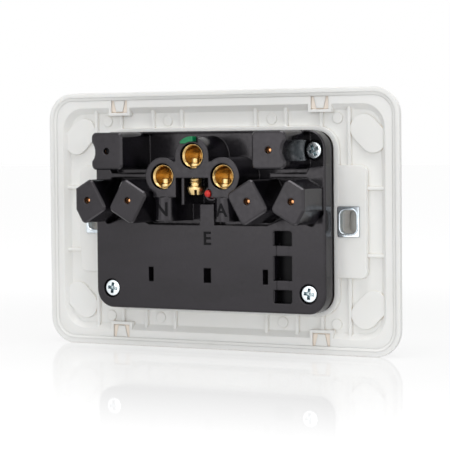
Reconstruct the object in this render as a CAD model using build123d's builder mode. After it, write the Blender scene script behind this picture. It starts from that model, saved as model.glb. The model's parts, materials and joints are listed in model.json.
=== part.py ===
from build123d import *
import os
from math import cos, radians, sin

# Double switched socket outlet for three flat pins, in millimetres.
# +Z is up and +Y points into the wall; the origin is on the wall plane,
# midway between the two wall-screw slots.
# Sketches are drawn as seen from the wiring side: x to that view's right,
# y up, and depths count from the wall plane towards the wiring.
# "left" and "right" are as seen from the wiring side.

# Front cover
PLATE_W = 116.0
PLATE_H = 76.0
PLATE_CORNER = 8.0
COVER_DEPTH = 10.0
COVER_WALL = 1.5
COVER_RIM = 1.2
COVER_LEAN = 32.0
COVER_EDGE = 0.8
COVER_FIT = 0.1

# Base plate: ledge under the rim, shallow pocket, lip round the housing
LEDGE_LEVEL = -0.3
LEDGE_W = 3.0
POCKET_LEVEL = -2.0
POCKET_LEAN = 45.0
POCKET_CORNER = 7.0
BASE_FLOOR = 2.0
LIP_WALL = 1.4
LIP_LEVEL = -0.4
LIP_FIT = 0.2
REST_X = 46.0
REST_Y = 14.0
REST_R = 2.0
REST_GAP = 0.05

# Socket panel, the part of the base plate that fills the cover's window
PANEL_PROUD = 0.8
PANEL_WALL = 2.0
PANEL_SIDE = 2.0
PANEL_CORNER = 4.0
PANEL_EDGE = 0.6
PANEL_FIT = 0.25

# Snap clips between cover and base plate
CLIP_X = 33.3
CLIP_REACH = 4.5
CLIP_HALF = 2.8
CLIP_BAR = 0.9
TONGUE_INNER = 1.1
TONGUE_GAP = 0.3
TONGUE_LEVEL = -0.5
TONGUE_FOOT_GAP = 0.1
TONGUE_FOOT_LEVEL = -1.6

# Ribs, pads and moulded discs on the base plate
RIB_T = 1.0
RIB_LEVEL = -1.1
TOP_RIBS = (12.3, 22.1)
BOTTOM_RIBS = (15.3, 25.2)
SIDE_RIB_Y = 9.5
PAD_REACH = 8.7
PAD_H = 32.0
PAD_CORNER = 2.0
PAD_LEVEL = -0.5
DISC_LENGTH = 12.1
DISC_W = 8.3
DISC_INSET_X = 10.1
DISC_INSET_Y = 13.1
DISC_LEVEL = -1.2
EJECTOR_R = 1.6
EJECTOR_H = 0.3
EJECTOR_INSET = 8.6
TOP_EJECTORS = (17.3, 38.2)
BOTTOM_EJECTORS = (20.4, 37.6)

# Wall-screw inserts, 84 mm apart beside the housing
SLOT_OUTSET = 4.7
SLOT_W = 4.9
SLOT_LENGTH = 6.6
SLOT_CORNER = 1.6
SLOT_FREE = 0.4
INSERT_W = 6.8
INSERT_H = 8.6
INSERT_T = 1.6
INSERT_LEVEL = -0.35
INSERT_FIT = 0.05
INSERT_CORNER = 0.5

# Pin layout of the socket: two slanted pins and an upright earth pin
SOCKET_INSET = 11.0
EARTH_INSET = 5.1
EARTH_RISE = 14.3
PIN_SPREAD = 13.72
PIN_TURN = 30.0
PIN_SLOT_W = 2.4
PIN_SLOT_LENGTH = 7.0

# Rear housing
HOUSING_W = 74.6
HOUSING_H = 51.2
HOUSING_CORNER = 5.0
HOUSING_WALL = 1.5
HOUSING_LEVEL = 6.1
HOUSING_EDGE = 0.7
LID_LEVEL = 1.8
LID_OVERHANG = 0.5
BACK_WALL = 1.8
TRAY_LEVEL = 2.5
TRAY_RIM = 0.5
STEP_DROP = 7.3
STEP_WALL = 1.0
STEP_PEAK = 2.9
STEP_SIDE = 3.3
STEP_SIDE_RISE = 3.4
SEAT_STEP = 0.3

# Pillars over the pin contacts
PILLAR_LEVEL = 18.4
PILLAR_W = 9.4
PILLAR_LENGTH = 10.5
PILLAR_SHIFT = 0.3
PILLAR_CORNER = 1.5
PILLAR_EDGE = 0.5
PILLAR_SIDE_GAP = 0.1
EARTH_PILLAR_W = 10.5
EARTH_PILLAR_H = 10.8
TIP_WALL = 1.4
TEST_HOLE_R = 1.0
RELIEF_R = 4.1
RELIEF_OUT = 1.55
SHOULDER_DROP = 4.6
SHOULDER_SLOPE = 1.0
RIDGE_DROP = 6.7
RIDGE_T = 1.2
RIDGE_START = 5.8
RIDGE_BEND = 5.3
RIDGE_FALL = 2.9

# Terminal boss with its window, and the barrels below it
BOSS_LEVEL = 14.85
EARTH_TERMINAL_INSET = 6.6
SIDE_TERMINAL_X = 9.8
SIDE_TERMINAL_DROP = 5.9
LOBE_R = 5.5
WEB_DROP = 1.6
FOOT_OUTER = 3.0
FOOT_DROP = 6.0
WINDOW_DROP = 6.3
WINDOW_HALF = 5.3
GUIDE_T = 0.9
GUIDE_GAP = 0.5
GUIDE_LEVEL = 14.0
BRIDGE_HALF = 2.4
BRIDGE_DROP = 2.1
BARREL_R = 3.2
BARREL_LENGTH = 6.9

# Brass tunnel terminals
TUNNEL_R = 2.8
TUNNEL_DEPTH = 9.0
TUNNEL_WALL = 0.6
TUNNEL_DROP = 0.65
TUNNEL_GAP = 0.35

# Terminal screws
CLAMP_LEVEL = 12.3
CLAMP_R = 1.8
CLAMP_FIT = 0.05
CLAMP_HOLE_GAP = 0.25
CLAMP_LENGTH = 5.9
CLAMP_HEAD_R = 2.5
CLAMP_HEAD_H = 2.4
CLAMP_HEAD_GAP = 0.12
CLAMP_TIP_GAP = 0.08

# Markers beside the terminals
GREEN_R = 5.6
GREEN_INNER_R = 4.1
GREEN_RISE = 3.55
GREEN_LEFT = 3.75
GREEN_RIGHT = 0.35
GREEN_LENGTH = 2.2
GREEN_NOTCH = 1.6
MARKER_FIT = 0.05
RED_X = 4.9
RED_DROP = 4.9
RED_R = 1.0
RED_DOME = 0.9
RED_HOLE_R = 1.5
RED_BOSS_R = 2.1
RED_BOSS_DROP = 0.5
RED_PROUD = 2.0
RED_DEPTH = 4.0
RED_FOOT = 1.5

# Housing screws
UPPER_SCREW_INSET = 4.3
LOWER_SCREW_INSET = 4.8
SCREW_INSET_Y = 5.3
SCREW_RAISE = 1.0
SCREW_R = 1.45
SCREW_LENGTH = 8.5
SCREW_HEAD_R = 2.5
SCREW_HEAD_H = 1.6
SCREW_SEAT_GAP = 0.35
SCREW_HOLE_GAP = 0.2
SCREW_PILOT_GAP = 0.03
SCREW_POST_R = 3.3
SCREW_BOSS_R = 3.9

# Blind slots and ports in the housing's back
BACK_SLOT_RISE = 9.8
BACK_SLOT_H = 4.2
BACK_SLOT_W = 1.7
MIDDLE_SLOT_W = 2.5
BACK_SLOT_INSET = 18.4
PORT_INSET = 12.9
PORT_W = 6.0
PORT_DROP = 1.45
PORT_RISE = 2.4
PORT_CORNER = 0.8
PORT_UPPER_BAR = (4.15, 7.15)
PORT_LOWER_BAR = (3.8, 6.5)
POCKET_DEPTH = 4.2
POCKET_SKIN = 0.8
GROOVE_W = 4.0
GROOVE_DEPTH = 0.35

# Contact strips, pin clips and the posts that hold the strips
STRIP_T = 0.8
STRIP_W = 3.2
STRIP_PAD_R = 3.6
LEAF_T = 0.5
LEAF_GAP = 1.5
LEAF_W = 5.0
LEAF_ROOM = 0.4
LEAF_MOUTH = 0.4
LEAF_END = 0.1
NEUTRAL_DROP = 1.7
NEUTRAL_RISE = 5.8
TRUNK_RISE = 1.2
TRUNK_W = 2.2
CROSS_DROP = 6.7
POST_W = 1.6
EARTH_POST_X = 13.0
TRUNK_POST_X = 14.0
CONTACT_POST = 4.0

# Rocker switches
ROCKER_INSET = 8.3
ROCKER_RISE = 15.8
ROCKER_W = 7.6
ROCKER_HALF = 6.6
ROCKER_FRONT_HALF = 6.1
ROCKER_REACH = 5.2
ROCKER_CROWN = 0.4
ROCKER_BACK = 1.4
ROCKER_WALL = 1.2
ROCKER_SWING = 12.0
ROCKER_GAP = 0.3
PIVOT_BEHIND_PANEL = 2.4
TRUNNION_R = 1.0
TRUNNION_GAP = 0.1
CHEEK_R = 2.0
PIVOT_FIT = 0.06
LUG_T = 1.3
LUG_HALF = 2.4
LUG_RISE = 1.2
STEM_R = 2.4
STEM_END = 1.6
STEM_BORE = 5.4
PLUNGER_R = 1.5
PLUNGER_FIT = 0.05
PLUNGER_LENGTH = 3.7
PLUNGER_TIP = 3.9
SPRING_WIRE = 0.4
SPRING_R = 1.2
SPRING_TURNS = 3.0
SPRING_GAP = 0.05

# See-saw contacts worked by the plungers
SEESAW_BEHIND_TIP = 0.5
SEESAW_SWING = 16.0
SEESAW_W = 4.0
SEESAW_HALF = 5.8
SEESAW_PIN_R = 0.8
EAR_GAP = 0.3
EAR_T = 0.8
EAR_HALF = 1.6
EAR_RISE = 0.6
TIP_ARM = 4.4
TIP_R = 1.2
MOVING_TIP_H = 0.35
FIXED_TIP_H = 0.3

# Sizes that follow from the ones above
BASE_W = PLATE_W - 2 * (COVER_WALL + COVER_FIT)
BASE_H = PLATE_H - 2 * (COVER_WALL + COVER_FIT)
BASE_CORNER = PLATE_CORNER - COVER_WALL - COVER_FIT
BASE_FRONT = POCKET_LEVEL - BASE_FLOOR
COVER_INSIDE = COVER_WALL - COVER_DEPTH
POCKET_W = BASE_W - 2 * LEDGE_W
POCKET_H = BASE_H - 2 * LEDGE_W
WELL_W = HOUSING_W - 2 * (HOUSING_WALL + SEAT_STEP)
WELL_H = HOUSING_H - 2 * (HOUSING_WALL + SEAT_STEP)
WELL_CORNER = HOUSING_CORNER - HOUSING_WALL - SEAT_STEP
PANEL_W = WELL_W + 2 * PANEL_SIDE
PANEL_H = WELL_H + 2 * PANEL_SIDE
PANEL_FRONT = -COVER_DEPTH - PANEL_PROUD
PANEL_BACK = PANEL_FRONT + PANEL_WALL
LIP_W = HOUSING_W + 2 * (LIP_FIT + LIP_WALL)
LIP_H = HOUSING_H + 2 * (LIP_FIT + LIP_WALL)
LIP_CORNER = HOUSING_CORNER + LIP_FIT + LIP_WALL
CLIP_INNER_Y = BASE_H / 2 - CLIP_REACH
LID_W = HOUSING_W + 2 * LID_OVERHANG
LID_H = HOUSING_H + 2 * LID_OVERHANG
LID_CORNER = HOUSING_CORNER + LID_OVERHANG
UPPER_CEILING = TRAY_LEVEL - BACK_WALL
LOWER_CEILING = HOUSING_LEVEL - BACK_WALL
UPPER_SEAT = UPPER_CEILING + SCREW_RAISE
TUNNEL_LEVEL = BOSS_LEVEL - TUNNEL_DROP
TUNNEL_OUTER_R = TUNNEL_R + TUNNEL_WALL
STRIP_FRONT = UPPER_CEILING - STRIP_T
NEUTRAL_BACK = STRIP_FRONT - NEUTRAL_DROP
NEUTRAL_FRONT = NEUTRAL_BACK - STRIP_T
LEAF_ACROSS = LEAF_GAP + 2 * LEAF_T
LEAF_FRONT = PANEL_BACK + LEAF_MOUTH
LEAF_BACK = PILLAR_LEVEL - TIP_WALL - LEAF_END
PIVOT_LEVEL = PANEL_BACK + PIVOT_BEHIND_PANEL
SEESAW_LEVEL = PIVOT_LEVEL + PLUNGER_TIP + SEESAW_BEHIND_TIP
EAR_INNER = SEESAW_W / 2 + EAR_GAP
EAR_OUTER = EAR_INNER + EAR_T
PIN_X = PIN_SPREAD / 2
RED_BASE = BOSS_LEVEL - RED_BOSS_DROP - RED_DEPTH

# Places across and up the wiring-side view, counted from the housing's sides, top and bottom
SIDE_X = HOUSING_W / 2
TOP_Y = HOUSING_H / 2
SLOT_X = SIDE_X + SLOT_OUTSET
SOCKET_X = SIDE_X - SOCKET_INSET
UPPER_SCREW_X = SIDE_X - UPPER_SCREW_INSET
LOWER_SCREW_X = SIDE_X - LOWER_SCREW_INSET
SCREW_Y = TOP_Y - SCREW_INSET_Y
SHOULDER_Y = SCREW_Y - SHOULDER_DROP
EARTH_Y = TOP_Y - EARTH_INSET
LIVE_Y = EARTH_Y - EARTH_RISE
STEP_Y = LIVE_Y - STEP_DROP
RIDGE_Y = EARTH_Y - RIDGE_DROP
EARTH_TERMINAL_Y = TOP_Y - EARTH_TERMINAL_INSET
SIDE_TERMINAL_Y = EARTH_TERMINAL_Y - SIDE_TERMINAL_DROP
WEB_Y = EARTH_TERMINAL_Y - WEB_DROP
WINDOW_Y = EARTH_TERMINAL_Y - WINDOW_DROP
FOOT_Y = SIDE_TERMINAL_Y - FOOT_DROP
BRIDGE_Y = FOOT_Y - BRIDGE_DROP
BARREL_END_Y = FOOT_Y - BARREL_LENGTH
RED_Y = SIDE_TERMINAL_Y - RED_DROP
GUIDE_HALF = CLAMP_HEAD_R + GUIDE_GAP
NEUTRAL_Y = LIVE_Y + NEUTRAL_RISE
CROSS_Y = LIVE_Y - CROSS_DROP
ROCKER_X = SIDE_X - ROCKER_INSET
ROCKER_Y = ROCKER_RISE - TOP_Y
TRUNK_Y = ROCKER_Y + TRUNK_RISE
SWITCH_TIP_Y = ROCKER_Y + TIP_ARM
BACK_SLOT_X = SIDE_X - BACK_SLOT_INSET
BACK_SLOT_Y = BACK_SLOT_RISE - TOP_Y
BACK_SLOTS = ((-BACK_SLOT_X, BACK_SLOT_W), (0, MIDDLE_SLOT_W), (BACK_SLOT_X, BACK_SLOT_W))
PORT_X = SIDE_X - PORT_INSET
PORT_TOP = STEP_Y - PORT_DROP
PORT_BOTTOM = PORT_RISE - TOP_Y
PORT_BARS = (
    (PORT_TOP - PORT_UPPER_BAR[1], PORT_TOP - PORT_UPPER_BAR[0]),
    (PORT_BOTTOM + PORT_LOWER_BAR[0], PORT_BOTTOM + PORT_LOWER_BAR[1]),
)
SIDES = ((-1, "left"), (1, "right"))
CORNERS = ((-1, -1), (-1, 1), (1, -1), (1, 1))

# Pin places: sketch x, y and the slot's turn from upright
EARTH_PINS = [(side * SOCKET_X, EARTH_Y, 0.0) for side, _ in SIDES]
ACTIVE_PINS = [(side * SOCKET_X - PIN_X, LIVE_Y, PIN_TURN) for side, _ in SIDES]
NEUTRAL_PINS = [(side * SOCKET_X + PIN_X, LIVE_Y, -PIN_TURN) for side, _ in SIDES]
ALL_PINS = EARTH_PINS + ACTIVE_PINS + NEUTRAL_PINS

# Housing screws: sketch x, y and the level under the head
UPPER_SCREWS = [(side * UPPER_SCREW_X, SCREW_Y, UPPER_SEAT) for side, _ in SIDES]
LOWER_SCREWS = [(side * LOWER_SCREW_X, -SCREW_Y, LOWER_CEILING) for side, _ in SIDES]
SCREWS = UPPER_SCREWS + LOWER_SCREWS

# Terminals: name, sketch x, y, level of the foot and start of the screw's passage
TERMINALS = (
    ("earth", 0.0, EARTH_TERMINAL_Y, UPPER_CEILING, WINDOW_Y),
    ("neutral", -SIDE_TERMINAL_X, SIDE_TERMINAL_Y, NEUTRAL_BACK, FOOT_Y),
    ("active", SIDE_TERMINAL_X, SIDE_TERMINAL_Y, UPPER_CEILING, FOOT_Y),
)

# Posts of the base plate under the strips: sketch x, y and the strip's front face
STRIP_POSTS = (
    (0.0, NEUTRAL_Y, NEUTRAL_FRONT),
    (SOCKET_X, NEUTRAL_Y, NEUTRAL_FRONT),
    (-EARTH_POST_X, EARTH_Y, STRIP_FRONT),
    (EARTH_POST_X, EARTH_Y, STRIP_FRONT),
    (-TRUNK_POST_X, TRUNK_Y, STRIP_FRONT),
    (TRUNK_POST_X, TRUNK_Y, STRIP_FRONT),
    (-ROCKER_X, CROSS_Y, STRIP_FRONT),
    (ROCKER_X - CONTACT_POST, CROSS_Y, STRIP_FRONT),
)

REAR = Plane(origin=(0, 0, 0), x_dir=(-1, 0, 0), z_dir=(0, 1, 0))


def at(depth):
    """Sketch plane of the wiring-side view at a depth from the wall plane."""
    return REAR.offset(depth)


def upward(x, y, depth):
    """Plane that faces up, at a place of the wiring-side view; its y points to the front."""
    return Plane(origin=(-x, depth, y), x_dir=(-1, 0, 0), z_dir=(0, 0, 1))


def tilted(x, y, depth, tilt):
    """Wiring-side plane through a pivot, tilted about it so that its top leans back."""
    lean = radians(tilt)
    return Plane(origin=(-x, depth, y), x_dir=(-1, 0, 0), z_dir=(0, cos(lean), -sin(lean)))


def side_on(plane):
    """Side view of a wiring-side plane: x is its up direction, y points to the wiring."""
    return Plane(origin=plane.origin, x_dir=plane.y_dir, z_dir=plane.x_dir)


def bar(x0, x1, y0, y1, mode=Mode.ADD):
    """Rectangle between two x and two y values of the sketch."""
    with Locations(((x0 + x1) / 2, (y0 + y1) / 2)):
        Rectangle(abs(x1 - x0), abs(y1 - y0), mode=mode)


def post(x, y, width):
    """Square at a place of the sketch."""
    with Locations((x, y)):
        Rectangle(width, width)


def disc(x, y, radius, mode=Mode.ADD):
    """Circle at a place of the sketch."""
    with Locations((x, y)):
        Circle(radius, mode=mode)


def outline(*points, mode=Mode.ADD):
    """Closed straight-sided face."""
    with BuildLine() as edge:
        Polyline(*points, close=True)
    make_face(edge.edges(), mode=mode)


def crown(outer_r, left, right, gap=0.0):
    """Top of the earth lobe between two places, level below and clear of the terminal."""
    disc(0, EARTH_TERMINAL_Y, outer_r)
    base_y = EARTH_TERMINAL_Y + GREEN_RISE - gap
    bar(-left - gap, right + gap, base_y, EARTH_TERMINAL_Y + outer_r, Mode.INTERSECT)
    disc(0, EARTH_TERMINAL_Y, GREEN_INNER_R - gap, Mode.SUBTRACT)


def back_openings(grow=0.0):
    """Outlines of the slots and the row of ports in the housing's back, grown by a skin."""
    for x, width in BACK_SLOTS:
        with Locations((x, BACK_SLOT_Y)):
            Rectangle(width + 2 * grow, BACK_SLOT_H + 2 * grow)
    with Locations((PORT_X, (PORT_TOP + PORT_BOTTOM) / 2)):
        RectangleRounded(PORT_W + 2 * grow, PORT_TOP - PORT_BOTTOM + 2 * grow, PORT_CORNER + grow)


def leaning_block(width, height, corner, top, bottom):
    """Rounded block with an upright rim, whose sides lean in towards the front."""
    with BuildSketch(at(top)) as rim:
        RectangleRounded(width, height, corner)
    extrude(rim.sketch, amount=-COVER_RIM - top)
    with BuildSketch(at(-COVER_RIM)) as skirt:
        RectangleRounded(width, height, corner)
    extrude(skirt.sketch, amount=bottom + COVER_RIM, taper=COVER_LEAN)


def pin_clips(pins):
    """Folded pin clips, open to the front, with the pin gaps cleared through their strip."""
    for x, y, turn in pins:
        with BuildSketch(at(LEAF_FRONT)) as leaves:
            with Locations((x, y)):
                Rectangle(LEAF_ACROSS, LEAF_W, rotation=turn)
        extrude(leaves.sketch, amount=LEAF_BACK - LEAF_FRONT)
        with BuildSketch(at(LEAF_FRONT)) as gap:
            with Locations((x, y)):
                Rectangle(LEAF_GAP, LEAF_W + 2 * LEAF_ROOM, rotation=turn)
        extrude(gap.sketch, amount=LEAF_BACK - LEAF_T - LEAF_FRONT, mode=Mode.SUBTRACT)


def finish(piece, name):
    """Label a finished piece and write it."""
    piece.part.label = name
    export_step(piece.part, f"parts/{name}.step")


os.makedirs("parts", exist_ok=True)

# Hollow of the front cover, with four footed snap tongues left standing
with BuildPart() as cover_hollow:
    hollow_w = PLATE_W - 2 * COVER_WALL
    hollow_h = PLATE_H - 2 * COVER_WALL
    leaning_block(hollow_w, hollow_h, PLATE_CORNER - COVER_WALL, 0, COVER_INSIDE)
    with BuildSketch(at(TONGUE_LEVEL)):
        for side, end in CORNERS:
            x = side * CLIP_X
            inner_y = end * (CLIP_INNER_Y + TONGUE_GAP)
            outer_half = CLIP_HALF - TONGUE_GAP
            outline(
                (x - TONGUE_INNER, inner_y),
                (x + TONGUE_INNER, inner_y),
                (x + outer_half, end * PLATE_H / 2),
                (x - outer_half, end * PLATE_H / 2),
            )
    extrude(amount=COVER_INSIDE - TONGUE_LEVEL, mode=Mode.SUBTRACT)
    with BuildSketch(at(TONGUE_FOOT_LEVEL)):
        for side, end in CORNERS:
            x = side * CLIP_X
            half = CLIP_HALF - TONGUE_FOOT_GAP
            bar(x - half, x + half, end * (CLIP_INNER_Y + TONGUE_FOOT_GAP), end * PLATE_H / 2)
    extrude(amount=COVER_INSIDE - TONGUE_FOOT_LEVEL, mode=Mode.SUBTRACT)

# Front cover: thin shell with leaning sides and a window
with BuildPart() as front_cover:
    leaning_block(PLATE_W, PLATE_H, PLATE_CORNER, 0, -COVER_DEPTH)
    fillet(front_cover.edges().group_by(Axis.Y)[0], COVER_EDGE)
    add(cover_hollow.part, mode=Mode.SUBTRACT)
    with BuildSketch(at(-COVER_DEPTH)):
        RectangleRounded(PANEL_W + 2 * PANEL_FIT, PANEL_H + 2 * PANEL_FIT, PANEL_CORNER + PANEL_FIT)
    extrude(amount=COVER_WALL, both=True, mode=Mode.SUBTRACT)
finish(front_cover, "front_cover")

# Base plate: ledge, pocket, lip, pads, ribs and the socket panel with its well
with BuildPart() as base_plate:
    leaning_block(BASE_W, BASE_H, BASE_CORNER, LEDGE_LEVEL, BASE_FRONT)
    with BuildSketch(at(LEDGE_LEVEL)):
        RectangleRounded(POCKET_W, POCKET_H, POCKET_CORNER)
    extrude(amount=POCKET_LEVEL - LEDGE_LEVEL, taper=POCKET_LEAN, mode=Mode.SUBTRACT)
    with BuildSketch(at(POCKET_LEVEL)):
        RectangleRounded(PANEL_W, PANEL_H, PANEL_CORNER)
    extrude(amount=PANEL_FRONT - POCKET_LEVEL)
    fillet(base_plate.edges().group_by(Axis.Y)[0], PANEL_EDGE)
    with BuildSketch(at(BASE_FRONT)):
        for side, end in CORNERS:
            disc(side * REST_X, end * REST_Y, REST_R)
    extrude(amount=COVER_INSIDE + REST_GAP - BASE_FRONT)

    # Lip, pads, ribs, corner discs, ejector marks and clip brackets on the pocket floor
    with BuildSketch(at(POCKET_LEVEL)):
        RectangleRounded(LIP_W, LIP_H, LIP_CORNER)
    extrude(amount=LIP_LEVEL - POCKET_LEVEL)
    with BuildSketch(at(POCKET_LEVEL)):
        RectangleRounded(LIP_W + 2 * PAD_REACH, PAD_H, PAD_CORNER)
        Rectangle(HOUSING_W, HOUSING_H, mode=Mode.SUBTRACT)
    extrude(amount=PAD_LEVEL - POCKET_LEVEL)
    with BuildSketch(at(POCKET_LEVEL)):
        for side, _ in SIDES:
            for x in TOP_RIBS + (CLIP_X, SLOT_X):
                bar(side * x - RIB_T / 2, side * x + RIB_T / 2, 0, POCKET_H / 2)
            for x in BOTTOM_RIBS + (CLIP_X, SLOT_X):
                bar(side * x - RIB_T / 2, side * x + RIB_T / 2, 0, -POCKET_H / 2)
            y = side * SIDE_RIB_Y
            bar(-POCKET_W / 2, POCKET_W / 2, y - RIB_T / 2, y + RIB_T / 2)
        Rectangle(HOUSING_W, HOUSING_H, mode=Mode.SUBTRACT)
    extrude(amount=RIB_LEVEL - POCKET_LEVEL)
    with BuildSketch(at(POCKET_LEVEL)):
        for side, end in CORNERS:
            with Locations((side * (PLATE_W / 2 - DISC_INSET_X), end * (PLATE_H / 2 - DISC_INSET_Y))):
                SlotOverall(DISC_LENGTH, DISC_W, rotation=-45 * side * end)
    extrude(amount=DISC_LEVEL - POCKET_LEVEL)
    with BuildSketch(at(POCKET_LEVEL)):
        for side, _ in SIDES:
            for x in TOP_EJECTORS:
                disc(side * x, PLATE_H / 2 - EJECTOR_INSET, EJECTOR_R)
            for x in BOTTOM_EJECTORS:
                disc(side * x, EJECTOR_INSET - PLATE_H / 2, EJECTOR_R)
    extrude(amount=EJECTOR_H)
    with BuildSketch(at(POCKET_LEVEL)):
        for side, end in CORNERS:
            x = side * CLIP_X
            half = CLIP_HALF + CLIP_BAR
            bar(x - half, x + half, end * (CLIP_INNER_Y - CLIP_BAR), end * POCKET_H / 2)
    extrude(amount=LEDGE_LEVEL - POCKET_LEVEL)

    # Room for the housing, the well behind the panel and the snap notches
    with BuildSketch(at(POCKET_LEVEL)):
        RectangleRounded(HOUSING_W + 2 * LIP_FIT, HOUSING_H + 2 * LIP_FIT, HOUSING_CORNER + LIP_FIT)
    extrude(amount=-POCKET_LEVEL, mode=Mode.SUBTRACT)
    with BuildSketch(at(POCKET_LEVEL)):
        RectangleRounded(WELL_W, WELL_H, WELL_CORNER)
    extrude(amount=PANEL_BACK - POCKET_LEVEL, mode=Mode.SUBTRACT)
    with BuildSketch(at(0)):
        for side, end in CORNERS:
            x = side * CLIP_X
            bar(x - CLIP_HALF, x + CLIP_HALF, end * CLIP_INNER_Y, end * PLATE_H / 2)
    extrude(amount=BASE_FRONT - COVER_WALL, mode=Mode.SUBTRACT)

    # Screw posts, strip posts and the bearing lugs of the rockers inside the well
    with BuildSketch(at(PANEL_BACK)):
        for x, y, _ in SCREWS:
            disc(x, y, SCREW_POST_R)
    extrude(amount=POCKET_LEVEL - PANEL_BACK)
    for x, y, level in STRIP_POSTS:
        with BuildSketch(at(PANEL_BACK)):
            post(x, y, POST_W)
        extrude(amount=level - PANEL_BACK)
    lug_inner = ROCKER_W / 2 + ROCKER_GAP
    lug_outer = lug_inner + LUG_T
    with BuildSketch(at(PANEL_BACK)):
        for side, _ in SIDES:
            x = side * ROCKER_X
            bar(x - lug_outer, x - lug_inner, ROCKER_Y - LUG_HALF, ROCKER_Y + LUG_HALF)
            bar(x + lug_inner, x + lug_outer, ROCKER_Y - LUG_HALF, ROCKER_Y + LUG_HALF)
    extrude(amount=PIVOT_BEHIND_PANEL + LUG_RISE)
    for side, _ in SIDES:
        with BuildSketch(side_on(tilted(side * ROCKER_X, ROCKER_Y, PIVOT_LEVEL, 0))):
            Circle(TRUNNION_R + PIVOT_FIT)
            bar(-TRUNNION_R - PIVOT_FIT, TRUNNION_R + PIVOT_FIT, 0, 2 * LUG_RISE)
        extrude(amount=lug_outer, both=True, mode=Mode.SUBTRACT)

    # Pin slots, rocker openings, pilot holes and the seats of the wall-screw inserts
    with BuildSketch(at(PANEL_FRONT)):
        for x, y, turn in ALL_PINS:
            with Locations((x, y)):
                Rectangle(PIN_SLOT_W, PIN_SLOT_LENGTH, rotation=turn)
        for side, _ in SIDES:
            with Locations((side * ROCKER_X, ROCKER_Y)):
                Rectangle(ROCKER_W + 2 * ROCKER_GAP, 2 * (ROCKER_HALF + ROCKER_GAP))
    extrude(amount=PANEL_WALL, mode=Mode.SUBTRACT)
    with BuildSketch(at(POCKET_LEVEL)):
        for x, y, _ in SCREWS:
            disc(x, y, SCREW_R + SCREW_PILOT_GAP)
    extrude(amount=PANEL_BACK - POCKET_LEVEL, mode=Mode.SUBTRACT)
    with BuildSketch(at(INSERT_LEVEL - INSERT_T)):
        for side, _ in SIDES:
            with Locations((side * SLOT_X, 0)):
                RectangleRounded(INSERT_W + 2 * INSERT_FIT, INSERT_H + 2 * INSERT_FIT, INSERT_CORNER)
    extrude(amount=INSERT_T - INSERT_LEVEL, mode=Mode.SUBTRACT)
    with BuildSketch(at(0)):
        for side, _ in SIDES:
            with Locations((side * SLOT_X, 0)):
                RectangleRounded(SLOT_W + SLOT_FREE, SLOT_LENGTH + SLOT_FREE, SLOT_CORNER)
    extrude(amount=BASE_FRONT - COVER_WALL, mode=Mode.SUBTRACT)
finish(base_plate, "base_plate")

# Wall-screw inserts: steel plates with upright slots
for side, name in SIDES:
    with BuildPart() as insert:
        with BuildSketch(at(INSERT_LEVEL)):
            with Locations((side * SLOT_X, 0)):
                RectangleRounded(INSERT_W, INSERT_H, INSERT_CORNER)
                RectangleRounded(SLOT_W, SLOT_LENGTH, SLOT_CORNER, mode=Mode.SUBTRACT)
        extrude(amount=-INSERT_T)
    finish(insert, f"mounting_insert_{name}")

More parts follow.
